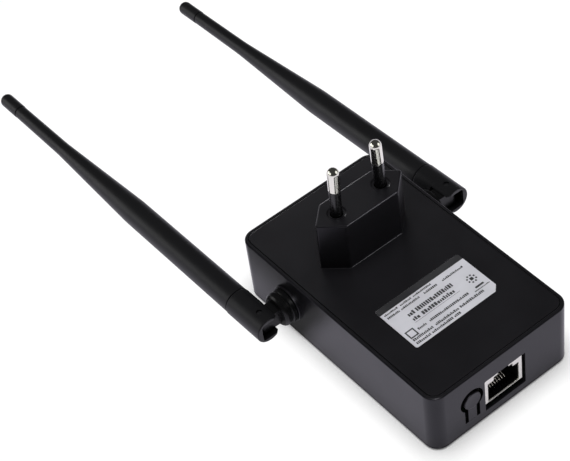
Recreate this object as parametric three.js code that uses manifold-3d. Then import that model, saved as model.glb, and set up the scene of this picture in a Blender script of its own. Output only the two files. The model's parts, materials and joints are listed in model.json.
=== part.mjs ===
// Wall-plug Wi-Fi range extender with two folding antennas, in millimetres.
// Origin: centre of the front face. +Z runs from the front face to the plug pins,
// +Y to the end the antennas point at, and the Ethernet socket is in the -Y wall.
import * as THREE from 'three'
import { mergeVertices } from 'three/addons/utils/BufferGeometryUtils.js'
import Module from 'manifold-3d'

// ---- Case ----
const CASE_WIDTH = 58.6
const CASE_LENGTH = 96.7
const CASE_DEPTH = 26.1
const CORNER_RADIUS = 5
const WALL = 1.8
const RIM = 1.3 // flat-topped rim that frames the back cover
const BACK_EDGE_ROUND = 0.6
const FRONT_EDGE_ROUND = 0.8
const PANEL_THICKNESS = 1.2
const FLOOR_TOP = 3 // inner face of the housing's floor
const COVER_THICKNESS = 2.1
const SEAM = 0.12 // gap around pieces that drop into an opening
const JOINT_GAP = 0.02 // gap between faces that are pressed together
const PAST = 1 // how far a cutter runs past the face it cuts
const LIP_HEIGHT = 1.8 // locating lip under the back cover
const LIP_THICKNESS = 1.2
const LABEL = { xMin: -18, xMax: 17.6, yMin: -28.5, yMax: -8.1, thickness: 0.12, corner: 0.8, clip: 2.1 }

// ---- Plug block and pins ----
const BLOCK = { y: 18.4, height: 19.8, tip: 18.4, shoulder: 11, half: 6.85, wall: 1.6, top: 2, round: 0.3 }
const PIN_SPACING = 18.6
const PIN_LEAN = THREE.MathUtils.degToRad(1.65) // pins lean towards each other
const PIN = { radius: 2.05, core: 1.5, length: 19.6, inside: 12.6, shoulderGap: 0.15 }
const PIN_SLEEVE = { radius: 1.95, bore: 1.62, length: 10.2, inside: 1.9, clearance: 0.2 }
const PIN_RECESS = { radius: 3.1, depth: 0.3 }
const CLAMP = { bottom: 37, thickness: 3, gap: 0.3 }
const LEAD = { radius: 0.7, pinGap: 0.4, boardGap: 0.1 }

// ---- Circuit board ----
const BOARD = { width: 53, length: 88.2, y: -2.1, bottom: 4.55, thickness: 1.6, corner: 3 }
const BOARD_TOP = BOARD.bottom + BOARD.thickness
const BOSS = { radius: 2.6, bore: 1, floor: 0.8 }
const SCREW = { head: 1.9, headHeight: 1.3, crown: 0.5, shank: 0.85, length: 3.7, point: 0.6 }
const BOARD_HOLE = 1.15
const CROSS_SLOT = { length: 2, width: 0.4, depth: 0.6 }
const SCREW_POINTS = [[22.5, 38.5], [-22.5, -31]]
const POST_POINTS = [[-22.5, 38.5], [22.5, -31]]
const WIRELESS_CHIP = { x: 0, y: -1, width: 12, length: 12, height: 1 }
const MEMORY_CHIP = { x: 18.5, y: -14, width: 5.2, length: 7.8, height: 1.8 }
const LAN_TRANSFORMER = { x: 0.17, y: -19, width: 12.8, length: 8, height: 4.4 }
const BRIDGE_RECTIFIER = { x: -20.5, y: 26, width: 5, length: 6, height: 2.4 }
const SHIELD = { x: 0, y: -1, width: 24, length: 18, height: 2.8, sheet: 0.3 }
const BOBBIN = { x: 4, y: 33, width: 16, length: 12, height: 2 }
const WINDINGS = { width: 13, length: 16, height: 11 }
const INPUT_CAPACITORS = [{ x: -20, y: 34.5 }, { x: -10.5, y: 36.5 }]
const INPUT_CAN = { radius: 4, height: 13 }
const OUTPUT_CAPACITOR = { x: 20, y: -2, radius: 4, height: 11.5 }
const INDUCTOR = { x: 10.5, y: 13, radius: 3.4, height: 6.5 }
const CAN = { foot: 0.3, beadBottom: 1, beadMiddle: 1.4, beadTop: 1.8, bead: 0.35, crown: 0.4 }
const DISC = { x: 6, y: 20.9, thickness: 3, radius: 3.8, centre: 5, leg: 0.6, legHeight: 3.5, legSpacing: 5 }
const FUSE = { x: -13, radius: 1.7, centre: 2, yMin: 19, yMax: 28 }

// ---- Ethernet socket ----
const JACK = { x: LAN_TRANSFORMER.x, width: 16.3, height: 12.05, depth: 20.8, inset: 0.5, sheet: 0.4 }
const JACK_FRONT = -CASE_LENGTH / 2 + JACK.inset
const PORT = { width: 13.1, bottom: 0.6, height: 8.55, depth: 14 }
const KEYWAY = [{ width: 8, height: 1.5 }, { width: 4.5, height: 2.5 }]
const JACK_OPENING = { xMin: -8.05, xMax: 9.15, zMin: 3.9, zMax: 18.25 }
const CONTACT_COUNT = 8
const CONTACT_PITCH = 1.02
const CONTACT = { width: 0.42, thickness: 0.28, bend: 0.3 }
const CONTACT_RUN = { rest: 0.1, front: 3.2, rear: 13, tip: 8.4, rise: 2.8 }

// ---- Reset button: a tongue cut out of the -Y wall, and the switch behind it ----
const TONGUE = { x: -13.6, z: 14.3, head: 3.4, neck: 1.8, root: 4.9, slot: 1.3, rootGap: 0.1, raise: 0.4 }
const PRESS_Z = 11.6
const PRESS_BOSS = { radius: 1.5, length: 1.1 }
const SWITCH = { width: 6.4, height: 7.8, y: -43.6, depth: 3.6 }
const PLUNGER = { radius: 1.7, length: 2.4, gap: 0.1, bore: 1.9, boreDepth: 1.3 }

// ---- Status lights ----
const LIGHT_Y = 34
const LIGHT_XS = [-9, 0, 9]
const LIGHT_NAMES = ['led_power', 'led_wireless', 'led_ethernet']
const WINDOW = { width: 26, height: 4.2 }
const LED = { width: 1.6, length: 1.6, height: 0.8 }
const GUIDE = { width: 23, length: 3.6, thickness: 0.6, post: 1.3, hole: 1.6, floorGap: 0.05, paneGap: 0.1 }

// ---- Antennas: lengths run from the fold hinge, radii from the antenna's axis ----
const PIVOT_Y = 23.55
const PIVOT_Z = 13.6
const HINGE_OUT = 11.95 // from the case wall out to the fold hinge
const SIDES = [
  { name: 'left', sign: -1, tilt: -0.65, splay: -0.95 },
  { name: 'right', sign: 1, tilt: -1.6, splay: 0.85 },
]
const COLLAR_SEAT = { radius: 6.7, height: 0.9, root: 0.5, gap: 0.15 }
const NECK = { radius: 4.2, hole: 4.4, inside: 5, bore: 1.2, boreEnd: 8.5 }
const CLIP = { groove: 3.5, bore: 3.65, radius: 5.6, start: 2, thickness: 0.7, play: 0.1, gapAngle: 1.1 }
// The barrel's outside, as [radius, distance out from the wall].
const BARREL = [[6.2, 2.5], [5.75, 2.8], [5.75, 3.2], [6, 3.5], [6, 4.9], [5.4, 5.8]]
const BARREL_END = 5.8
const KNUCKLE = { radius: 2.75, half: 3.2, start: 4 }
const HINGE_PIN = { radius: 1, half: 4.6, bore: 1.12, fit: 1.05 }
const FORK = { radius: 5.05, end: 4.8, top: 12.3, edge: 0.3, round: 5.3 }
const FORK_SLOT = { half: 3.5, wall: 3, top: 4 }
const SOCKET = { radius: 3.95, bottom: 6.5 }
const CABLE_HOLE = 1.1
const TUBE_BASE = 12.55
const TUBE_END = 141.4
const TUBE_TAPER = [[4.88, TUBE_BASE], [4.72, 68], [4.6, 73], [2.72, 112], [2.55, 118], [2.45, TUBE_END]]
const TUBE_BORE = [[1.5, TUBE_END], [1.5, 112], [3.4, 68]]
const SPIGOT = { radius: 3.7, bore: 3.4, bottom: 7 }
const TIP = { radius: 2.55, start: 141.65, end: 152.5, plug: 1.3, plugLength: 4 }
const RADIATOR = [[0.7, 4.4], [0.7, 30], [1.5, 30], [1.5, 60], [0.5, 60], [0.5, 128]]
const COAX = { radius: 0.6, boardGap: 0.1, neckGap: 0.6 }

// ---- Facets: the sides of a round piece, and the steps of a rounded corner ----
const FINE = 24
const MEDIUM = 16
const COARSE = 12
const CORNER_STEPS = 3
const WIRE_STEPS = 14
const MERGE_DISTANCE = 1e-4

const wasm = await Module()
wasm.setup()

// ---------- Joining and cutting closed shapes ----------
function toSolid(geometry) {
  const bare = geometry.clone()
  bare.deleteAttribute('normal')
  bare.deleteAttribute('uv')
  const merged = mergeVertices(bare, MERGE_DISTANCE)
  const corners = merged.index.array
  const kept = []
  for (let i = 0; i < corners.length; i += 3) {
    const [a, b, c] = corners.slice(i, i + 3)
    if (a !== b && b !== c && c !== a) {
      kept.push(a, b, c)
    }
  }
  const mesh = new wasm.Mesh({
    numProp: 3,
    vertProperties: new Float32Array(merged.attributes.position.array),
    triVerts: new Uint32Array(kept),
  })
  return new wasm.Manifold(mesh)
}

function toGeometry(solid) {
  const mesh = solid.getMesh()
  const geometry = new THREE.BufferGeometry()
  geometry.setAttribute('position', new THREE.BufferAttribute(mesh.vertProperties, 3))
  geometry.setIndex(new THREE.BufferAttribute(mesh.triVerts, 1))
  return geometry
}

function combine(method, first, others) {
  return toGeometry(others.reduce((solid, other) => solid[method](toSolid(other)), toSolid(first)))
}

const join = (first, ...others) => combine('add', first, others)
const cut = (first, ...others) => combine('subtract', first, others)
const common = (first, ...others) => combine('intersect', first, others)

// ---------- Simple closed shapes ----------
function block(xMin, xMax, yMin, yMax, zMin, zMax) {
  const geometry = new THREE.BoxGeometry(xMax - xMin, yMax - yMin, zMax - zMin)
  return geometry.translate((xMin + xMax) / 2, (yMin + yMax) / 2, (zMin + zMax) / 2)
}

function boxOn(x, y, width, length, zMin, height) {
  return block(x - width / 2, x + width / 2, y - length / 2, y + length / 2, zMin, zMin + height)
}

function rodZ(x, y, radius, zMin, zMax, sides = MEDIUM) {
  const geometry = new THREE.CylinderGeometry(radius, radius, zMax - zMin, sides)
  return geometry.rotateX(Math.PI / 2).translate(x, y, (zMin + zMax) / 2)
}

function rodY(x, z, radius, yMin, yMax, sides = MEDIUM) {
  const geometry = new THREE.CylinderGeometry(radius, radius, yMax - yMin, sides)
  return geometry.translate(x, (yMin + yMax) / 2, z)
}

function rodX(y, z, radius, xMin, xMax, sides = MEDIUM) {
  const geometry = new THREE.CylinderGeometry(radius, radius, xMax - xMin, sides)
  return geometry.rotateZ(Math.PI / 2).translate((xMin + xMax) / 2, y, z)
}

// Turns an outline of [radius, height] points around the Y axis.
function turned(outline, sides = FINE) {
  const points = outline.map(([radius, height]) => new THREE.Vector2(radius, height))
  return new THREE.LatheGeometry(points, sides)
}

const closed = (outline) => [...outline, outline[0]]

function slab(shape, zMin, zMax) {
  const options = { depth: zMax - zMin, bevelEnabled: false, curveSegments: CORNER_STEPS }
  const geometry = new THREE.ExtrudeGeometry(shape, options)
  return geometry.translate(0, 0, zMin)
}

// A slab whose outer edges are rounded at both ends.
function roundedSlab(shape, zMin, zMax, round) {
  const geometry = new THREE.ExtrudeGeometry(shape, {
    depth: zMax - zMin - 2 * round,
    bevelThickness: round,
    bevelSize: round,
    bevelOffset: -round,
    bevelSegments: 2,
    curveSegments: CORNER_STEPS,
  })
  return geometry.translate(0, 0, zMin + round)
}

function roundedRectangle(width, length, radius) {
  const x = width / 2 - radius
  const y = length / 2 - radius
  const shape = new THREE.Shape()
  shape.absarc(x, y, radius, 0, Math.PI / 2)
  shape.absarc(-x, y, radius, Math.PI / 2, Math.PI)
  shape.absarc(-x, -y, radius, Math.PI, 1.5 * Math.PI)
  shape.absarc(x, -y, radius, 1.5 * Math.PI, 2 * Math.PI)
  return shape
}

// The case's outline, moved in by inset on every side.
function caseOutline(inset) {
  return roundedRectangle(CASE_WIDTH - 2 * inset, CASE_LENGTH - 2 * inset, CORNER_RADIUS - inset)
}

// The plug block's six-sided outline with its ends drawn to a point, moved in by inset.
function blockOutline(inset) {
  const run = BLOCK.tip - BLOCK.shoulder
  const slant = Math.hypot(run, BLOCK.half)
  const tip = BLOCK.tip - (inset * slant) / BLOCK.half
  const half = BLOCK.half - inset
  const shoulder = tip - (run * half) / BLOCK.half
  const corners = [
    [tip, 0],
    [shoulder, half],
    [-shoulder, half],
    [-tip, 0],
    [-shoulder, -half],
    [shoulder, -half],
  ]
  return new THREE.Shape(corners.map(([x, y]) => new THREE.Vector2(x, BLOCK.y + y)))
}

function wire(points, radius) {
  const path = new THREE.CatmullRomCurve3(points.map(([x, y, z]) => new THREE.Vector3(x, y, z)))
  const section = new THREE.Shape()
  section.absarc(0, 0, radius, 0, 2 * Math.PI)
  return new THREE.ExtrudeGeometry(section, {
    extrudePath: path,
    steps: WIRE_STEPS,
    curveSegments: 4,
    bevelEnabled: false,
  })
}

// ---------- Materials ----------
function plain(color, roughness, metalness = 0) {
  return new THREE.MeshStandardMaterial({ color, roughness, metalness })
}

const caseBlack = plain(0x1c1c1e, 0.5)
const glossBlack = plain(0x0d0d0f, 0.12)
const antennaBlack = plain(0x1b1b1d, 0.42)
const softBlack = plain(0x141415, 0.6)
const nickel = plain(0xcfccc5, 0.2, 1)
const steel = plain(0xb9bcc0, 0.3, 1)
const gold = plain(0xd9b45a, 0.25, 1)
const blackSteel = plain(0x19191b, 0.35, 1)
const brass = plain(0xc59a4a, 0.35, 1)
const silverLabel = plain(0xc9cbcd, 0.45)
const smoked = plain(0x2a2c30, 0.15)
const clear = plain(0xe8eef2, 0.1)
const boardGreen = plain(0x1d5a34, 0.45)
const chipBlack = plain(0x1a1a1a, 0.5)
const ferrite = plain(0x3a3a3c, 0.6)
const windingYellow = plain(0xd8b93a, 0.5)
const capacitorSleeve = plain(0x22324a, 0.4)
const discBlue = plain(0x2f6fb0, 0.4)
const resistorGreen = plain(0x5f8a6a, 0.5)
const whitePlastic = plain(0xe9e7e0, 0.45)
const brownWire = plain(0x6a3b22, 0.5)
const blueWire = plain(0x23489a, 0.5)
const greyWire = plain(0x77797d, 0.5)

const extender = new THREE.Group()

function add(name, geometry, material, parent = extender) {
  const mesh = new THREE.Mesh(geometry, material)
  mesh.name = name
  parent.add(mesh)
  return mesh
}

// ---------- Case ----------
function frontPanel() {
  const rounded = roundedSlab(caseOutline(0), 0, CASE_DEPTH, FRONT_EDGE_ROUND)
  const keep = boxOn(0, 0, CASE_WIDTH + PAST, CASE_LENGTH + PAST, 0, PANEL_THICKNESS - JOINT_GAP)
  const window = boxOn(0, LIGHT_Y, WINDOW.width, WINDOW.height, -PAST, PANEL_THICKNESS + 2 * PAST)
  return cut(common(rounded, keep), window)
}

// The tongue's outline in the XZ plane, grown by margin: a round head on a straight neck.
function tongueOutline(margin, root) {
  const radius = TONGUE.head + margin
  const neck = TONGUE.neck + margin
  const start = -Math.PI / 2 + Math.asin(neck / radius)
  const shape = new THREE.Shape()
  shape.moveTo(TONGUE.x - neck, root)
  shape.lineTo(TONGUE.x + neck, root)
  shape.absarc(TONGUE.x, TONGUE.z, radius, start, Math.PI - start)
  shape.closePath()
  return shape
}

function tonguePrism(margin, root, yMin, yMax) {
  const options = { depth: yMax - yMin, bevelEnabled: false, curveSegments: FINE / 2 }
  const prism = new THREE.ExtrudeGeometry(tongueOutline(margin, root), options)
  return prism.rotateX(Math.PI / 2).translate(0, yMax, 0)
}

function frontHousing() {
  const rounded = roundedSlab(caseOutline(0), 0, CASE_DEPTH, BACK_EDGE_ROUND)
  const keep = boxOn(0, 0, CASE_WIDTH + PAST, CASE_LENGTH + PAST, PANEL_THICKNESS, CASE_DEPTH)
  const coverBottom = CASE_DEPTH - COVER_THICKNESS
  const bosses = [...SCREW_POINTS, ...POST_POINTS].map(([x, y]) => {
    return rodZ(x, y, BOSS.radius, PANEL_THICKNESS + BOSS.floor, BOARD.bottom)
  })
  const seats = SIDES.map(({ sign }) => {
    const wallX = sign * (CASE_WIDTH / 2)
    const ends = [wallX - sign * COLLAR_SEAT.root, wallX + sign * COLLAR_SEAT.height]
    return rodX(PIVOT_Y, PIVOT_Z, COLLAR_SEAT.radius, Math.min(...ends), Math.max(...ends), FINE)
  })
  const shell = join(
    cut(
      common(rounded, keep),
      slab(caseOutline(WALL), FLOOR_TOP, coverBottom + PAST),
      slab(caseOutline(RIM), coverBottom, CASE_DEPTH + PAST),
    ),
    ...bosses,
    ...seats,
  )
  const reach = CASE_WIDTH / 2 + COLLAR_SEAT.height + PAST
  const wallY = -CASE_LENGTH / 2
  const boreBottom = FLOOR_TOP - BOSS.floor
  const { xMin, xMax, zMin, zMax } = JACK_OPENING
  return cut(
    shell,
    rodX(PIVOT_Y, PIVOT_Z, NECK.hole, -reach, reach, FINE),
    block(xMin, xMax, wallY - PAST, wallY + WALL + PAST, zMin, zMax),
    tonguePrism(TONGUE.slot, TONGUE.root - TONGUE.rootGap, wallY - PAST, wallY + WALL + PAST),
    ...SCREW_POINTS.map(([x, y]) => rodZ(x, y, BOSS.bore, boreBottom, BOARD.bottom + PAST, COARSE)),
    ...LIGHT_XS.map((x) => rodZ(x, LIGHT_Y, GUIDE.hole, 0, FLOOR_TOP + PAST, COARSE)),
  )
}

function pinPlace(sign, z) {
  const drop = CASE_DEPTH + BLOCK.height - z
  return sign * (PIN_SPACING / 2 + drop * Math.tan(PIN_LEAN))
}

function rearCover() {
  const coverBottom = CASE_DEPTH - COVER_THICKNESS
  const blockTop = CASE_DEPTH + BLOCK.height
  const lipInset = WALL + SEAM
  const lip = cut(
    slab(caseOutline(lipInset), coverBottom - LIP_HEIGHT, coverBottom + COVER_THICKNESS / 2),
    slab(caseOutline(lipInset + LIP_THICKNESS), coverBottom - LIP_HEIGHT - PAST, CASE_DEPTH),
  )
  const solid = join(
    slab(caseOutline(RIM + SEAM), coverBottom, CASE_DEPTH),
    lip,
    roundedSlab(blockOutline(0), coverBottom, blockTop, BLOCK.round),
  )
  const holes = [-1, 1].flatMap((sign) => {
    const x = pinPlace(sign, blockTop)
    const hole = PIN_SLEEVE.radius + PIN_SLEEVE.clearance
    return [
      rodZ(x, BLOCK.y, hole, blockTop - BLOCK.top - PAST, blockTop + PAST),
      rodZ(x, BLOCK.y, PIN_RECESS.radius, blockTop - PIN_RECESS.depth, blockTop + PAST),
    ]
  })
  return cut(solid, slab(blockOutline(BLOCK.wall), coverBottom - PAST, blockTop - BLOCK.top), ...holes)
}

add('front_panel', frontPanel(), glossBlack)
add('front_housing', frontHousing(), caseBlack)
add('rear_cover', rearCover(), caseBlack)

// The label: three rounded corners, and a straight clip across the fourth.
function ratingLabel() {
  const { xMin, xMax, yMin, yMax, corner, clip } = LABEL
  const shape = new THREE.Shape()
  shape.moveTo(xMax, yMin + clip)
  shape.absarc(xMax - corner, yMax - corner, corner, 0, Math.PI / 2)
  shape.absarc(xMin + corner, yMax - corner, corner, Math.PI / 2, Math.PI)
  shape.absarc(xMin + corner, yMin + corner, corner, Math.PI, 1.5 * Math.PI)
  shape.lineTo(xMax - clip, yMin)
  shape.closePath()
  return slab(shape, CASE_DEPTH, CASE_DEPTH + LABEL.thickness)
}

add('rating_label', ratingLabel(), silverLabel)

// ---------- Status lights ----------
const paneWidth = WINDOW.width - 2 * SEAM
const paneLength = WINDOW.height - 2 * SEAM
add('led_window', boxOn(0, LIGHT_Y, paneWidth, paneLength, 0, PANEL_THICKNESS - JOINT_GAP), smoked)

function lightGuide() {
  const barBottom = FLOOR_TOP + GUIDE.floorGap
  const bar = boxOn(0, LIGHT_Y, GUIDE.width, GUIDE.length, barBottom, GUIDE.thickness)
  const postBottom = PANEL_THICKNESS + GUIDE.paneGap
  const postTop = barBottom + GUIDE.thickness / 2
  const posts = LIGHT_XS.map((x) => rodZ(x, LIGHT_Y, GUIDE.post, postBottom, postTop, COARSE))
  return join(bar, ...posts)
}

add('light_guide', lightGuide(), clear)
LIGHT_XS.forEach((x, i) => {
  const lamp = boxOn(x, LIGHT_Y, LED.width, LED.length, BOARD.bottom - LED.height, LED.height)
  add(LIGHT_NAMES[i], lamp, whitePlastic)
})

// ---------- Plug pins ----------
for (const { name, sign } of SIDES) {
  const seat = new THREE.Group()
  seat.position.set((sign * PIN_SPACING) / 2, BLOCK.y, CASE_DEPTH + BLOCK.height)
  seat.rotation.y = -sign * PIN_LEAN
  extender.add(seat)
  const shoulder = PIN_SLEEVE.length + PIN.shoulderGap
  const dome = [0, 30, 60].map((angle) => {
    const turn = THREE.MathUtils.degToRad(angle)
    return [PIN.radius * Math.cos(turn), PIN.length - PIN.radius * (1 - Math.sin(turn))]
  })
  const pinOutline = [
    [0, -PIN.inside],
    [PIN.core, -PIN.inside],
    [PIN.core, shoulder],
    [PIN.radius, shoulder],
    ...dome,
    [0, PIN.length],
  ]
  add(`${name}_plug_pin`, turned(pinOutline, MEDIUM).rotateX(Math.PI / 2), nickel, seat)
  const sleeveOutline = closed([
    [PIN_SLEEVE.bore, -PIN_SLEEVE.inside],
    [PIN_SLEEVE.radius, -PIN_SLEEVE.inside],
    [PIN_SLEEVE.radius, PIN_SLEEVE.length],
    [PIN_SLEEVE.bore, PIN_SLEEVE.length],
  ])
  add(`${name}_pin_sleeve`, turned(sleeveOutline, MEDIUM).rotateX(Math.PI / 2), softBlack, seat)
}

function pinClamp() {
  const top = CLAMP.bottom + CLAMP.thickness
  const middle = (CLAMP.bottom + top) / 2
  const holes = [-1, 1].map((sign) => {
    return rodZ(pinPlace(sign, middle), BLOCK.y, PIN.core + CLAMP.gap, CLAMP.bottom - PAST, top + PAST)
  })
  return cut(slab(blockOutline(BLOCK.wall + CLAMP.gap), CLAMP.bottom, top), ...holes)
}

add('pin_clamp', pinClamp(), whitePlastic)
const leadTop = CASE_DEPTH + BLOCK.height - PIN.inside - LEAD.pinGap
const solderTop = BOARD_TOP + LEAD.boardGap
const livePoints = [
  [-9.7, 18.4, leadTop],
  [-9.7, 18.3, 26],
  [-8.6, 15.6, 16],
  [-8, 13, 9],
  [-8, 13, solderTop],
]
const neutralPoints = [
  [9.7, 18.4, leadTop],
  [8.8, 18.2, 26],
  [2.5, 15.6, 17],
  [-3, 13, 9.5],
  [-3, 13, solderTop],
]
add('live_lead', wire(livePoints, LEAD.radius), brownWire)
add('neutral_lead', wire(neutralPoints, LEAD.radius), blueWire)

// ---------- Board and what stands on it ----------
function mainBoard() {
  const outline = roundedRectangle(BOARD.width, BOARD.length, BOARD.corner)
  const plate = slab(outline, BOARD.bottom, BOARD_TOP).translate(0, BOARD.y, 0)
  const holes = SCREW_POINTS.map(([x, y]) => {
    return rodZ(x, y, BOARD_HOLE, BOARD.bottom - PAST, BOARD_TOP + PAST, COARSE)
  })
  return cut(plate, ...holes)
}

add('main_board', mainBoard(), boardGreen)

SCREW_POINTS.forEach(([x, y], i) => {
  const seat = BOARD_TOP + JOINT_GAP
  const top = seat + SCREW.headHeight
  const outline = [
    [0, seat - SCREW.length],
    [SCREW.shank, seat - SCREW.length + SCREW.point],
    [SCREW.shank, seat],
    [SCREW.head, seat],
    [SCREW.head, top - SCREW.crown],
    [SCREW.head - SCREW.crown, top],
    [0, top],
  ]
  const slotBottom = top - CROSS_SLOT.depth
  const slots = [
    boxOn(x, y, CROSS_SLOT.length, CROSS_SLOT.width, slotBottom, PAST),
    boxOn(x, y, CROSS_SLOT.width, CROSS_SLOT.length, slotBottom, PAST),
  ]
  const body = turned(outline, COARSE).rotateX(Math.PI / 2).translate(x, y, 0)
  add(`board_screw_${i + 1}`, cut(body, ...slots), steel)
})

function boxOnBoard({ x, y, width, length, height }, lift = 0) {
  return boxOn(x, y, width, length, BOARD_TOP + lift, height)
}

// A capacitor's can: a rolled bead near its foot and a small round at the top.
function canOnBoard({ x, y, radius, height }) {
  const outline = [
    [0, 0],
    [radius - CAN.foot, 0],
    [radius, CAN.foot],
    [radius, CAN.beadBottom],
    [radius - CAN.bead, CAN.beadMiddle],
    [radius, CAN.beadTop],
    [radius, height - CAN.crown],
    [radius - CAN.crown, height],
    [0, height],
  ]
  return turned(outline, COARSE).rotateX(Math.PI / 2).translate(x, y, BOARD_TOP)
}

function rfShield() {
  const { x, y, width, length, height, sheet } = SHIELD
  const inside = boxOn(x, y, width - 2 * sheet, length - 2 * sheet, BOARD_TOP - PAST, height - sheet + PAST)
  return cut(boxOnBoard(SHIELD), inside)
}

function powerTransformer() {
  const windings = boxOnBoard({ ...BOBBIN, ...WINDINGS }, BOBBIN.height)
  return join(windings, boxOnBoard(BOBBIN))
}

function suppressionCapacitor() {
  const { x, y, thickness, radius, centre, leg, legHeight, legSpacing } = DISC
  const disc = rodY(x, BOARD_TOP + centre, radius, y - thickness / 2, y + thickness / 2)
  const legs = [-1, 1].map((side) => {
    return boxOnBoard({ x: x + (side * legSpacing) / 2, y, width: leg, length: leg, height: legHeight })
  })
  return join(disc, ...legs)
}

add('wireless_chip', boxOnBoard(WIRELESS_CHIP), chipBlack)
add('rf_shield', rfShield(), steel)
add('memory_chip', boxOnBoard(MEMORY_CHIP), chipBlack)
add('lan_transformer', boxOnBoard(LAN_TRANSFORMER), chipBlack)
add('bridge_rectifier', boxOnBoard(BRIDGE_RECTIFIER), chipBlack)
add('power_transformer', powerTransformer(), windingYellow)
INPUT_CAPACITORS.forEach((place, i) => {
  add(`input_capacitor_${i + 1}`, canOnBoard({ ...place, ...INPUT_CAN }), capacitorSleeve)
})
add('output_capacitor', canOnBoard(OUTPUT_CAPACITOR), capacitorSleeve)
add('output_inductor', canOnBoard(INDUCTOR), ferrite)
add('suppression_capacitor', suppressionCapacitor(), discBlue)
const fuseAxis = BOARD_TOP + FUSE.centre
add('fuse_resistor', rodY(FUSE.x, fuseAxis, FUSE.radius, FUSE.yMin, FUSE.yMax, COARSE), resistorGreen)

// ---------- Ethernet socket ----------
function portCutter(yMin, yMax) {
  const bottom = BOARD_TOP + PORT.bottom
  const half = PORT.width / 2
  const top = bottom + PORT.height
  const cutters = KEYWAY.map(({ width, height }) => {
    return block(JACK.x - width / 2, JACK.x + width / 2, yMin, yMax, top - PAST, top + height)
  })
  return [block(JACK.x - half, JACK.x + half, yMin, yMax, bottom, top), ...cutters]
}

function jackShell() {
  const half = JACK.width / 2
  const rear = JACK_FRONT + JACK.depth
  const top = BOARD_TOP + JACK.height
  const { sheet } = JACK
  const outer = block(JACK.x - half, JACK.x + half, JACK_FRONT, rear, BOARD_TOP, top)
  const inner = block(
    JACK.x - half + sheet,
    JACK.x + half - sheet,
    JACK_FRONT + sheet,
    rear - sheet,
    BOARD_TOP - PAST,
    top - sheet,
  )
  return cut(outer, inner, ...portCutter(JACK_FRONT - PAST, JACK_FRONT + PAST))
}

function jackInsert() {
  const edge = JACK.sheet + SEAM
  const half = JACK.width / 2 - edge
  const front = JACK_FRONT + edge
  const body = block(
    JACK.x - half,
    JACK.x + half,
    front,
    JACK_FRONT + JACK.depth - edge,
    BOARD_TOP,
    BOARD_TOP + JACK.height - edge,
  )
  return cut(body, ...portCutter(front - PAST, front + PORT.depth))
}

// One contact: flat along the floor from the rear, round the front, then sloping up and back.
function contactStrip() {
  const floor = BOARD_TOP + PORT.bottom + CONTACT_RUN.rest
  const front = JACK_FRONT + CONTACT_RUN.front
  const tip = JACK_FRONT + CONTACT_RUN.tip
  const { rear, rise } = CONTACT_RUN
  const { thickness, bend } = CONTACT
  const throat = front + bend + thickness / 2
  const outline = [
    [JACK_FRONT + rear, floor],
    [front + bend, floor],
    [front, floor + bend],
    [front + bend / 2, floor + bend + 1.5 * thickness],
    [tip, floor + rise],
    [tip, floor + rise - thickness],
    [throat, floor + 2 * thickness],
    [throat, floor + thickness],
    [JACK_FRONT + rear, floor + thickness],
  ]
  const shape = new THREE.Shape(outline.map(([y, z]) => new THREE.Vector2(y, z)))
  const strip = new THREE.ExtrudeGeometry(shape, { depth: CONTACT.width, bevelEnabled: false })
  // The outline's axes become Y and Z, and its depth becomes X.
  strip.rotateX(Math.PI / 2).rotateZ(Math.PI / 2)
  return strip
}

add('jack_shell', jackShell(), steel)
add('jack_insert', jackInsert(), softBlack)
for (let i = 0; i < CONTACT_COUNT; i += 1) {
  const x = JACK.x + (i - (CONTACT_COUNT - 1) / 2) * CONTACT_PITCH
  add(`jack_contact_${i + 1}`, contactStrip().translate(x - CONTACT.width / 2, 0, 0), gold)
}

// ---------- Reset button and switch ----------
function resetButton() {
  const wallY = -CASE_LENGTH / 2
  const tongue = tonguePrism(0, TONGUE.root, wallY, wallY + WALL)
  const boss = rodY(TONGUE.x, PRESS_Z, PRESS_BOSS.radius, wallY + WALL / 2, wallY + WALL + PRESS_BOSS.length)
  const pad = rodY(TONGUE.x, TONGUE.z, TONGUE.head, wallY - TONGUE.raise, wallY + WALL / 2, FINE)
  return join(tongue, pad, boss)
}

function switchBody() {
  const centreY = SWITCH.y + SWITCH.depth / 2
  const body = boxOn(TONGUE.x, centreY, SWITCH.width, SWITCH.depth, BOARD_TOP, SWITCH.height)
  return cut(body, rodY(TONGUE.x, PRESS_Z, PLUNGER.bore, SWITCH.y - PAST, SWITCH.y + PLUNGER.boreDepth))
}

add('reset_button', resetButton(), caseBlack)
add('reset_switch', switchBody(), chipBlack)
const plungerFront = -CASE_LENGTH / 2 + WALL + PRESS_BOSS.length + PLUNGER.gap
const plunger = rodY(TONGUE.x, PRESS_Z, PLUNGER.radius, plungerFront, plungerFront + PLUNGER.length)
add('switch_plunger', plunger, whitePlastic)

// ---------- Antennas ----------
// In each side's own frame +X points out of the case wall, +Y along the folded antenna
// and the fold hinge is parallel to Z.
function swivelArm() {
  const grooveEnd = -CLIP.start - CLIP.thickness - CLIP.play
  const grooveStart = -CLIP.start + CLIP.play
  const seat = COLLAR_SEAT.height + COLLAR_SEAT.gap
  const profile = [
    [NECK.bore, -NECK.inside],
    [NECK.radius, -NECK.inside],
    [NECK.radius, grooveEnd],
    [CLIP.groove, grooveEnd],
    [CLIP.groove, grooveStart],
    [NECK.radius, grooveStart],
    [NECK.radius, seat],
    [BARREL[0][0], seat],
    ...BARREL,
    [NECK.bore, BARREL_END],
  ]
  const barrel = turned(closed(profile)).rotateZ(-Math.PI / 2)
  const { radius, half, start } = KNUCKLE
  const bar = block(start, HINGE_OUT, -radius, radius, -half, half)
  const eye = rodZ(HINGE_OUT, 0, radius, -half, half)
  const pinBore = rodZ(HINGE_OUT, 0, HINGE_PIN.bore, -half - PAST, half + PAST)
  const cablePath = rodX(0, 0, NECK.bore, -NECK.inside - PAST, NECK.boreEnd, COARSE)
  return cut(join(barrel, bar, eye), pinBore, cablePath)
}

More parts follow.
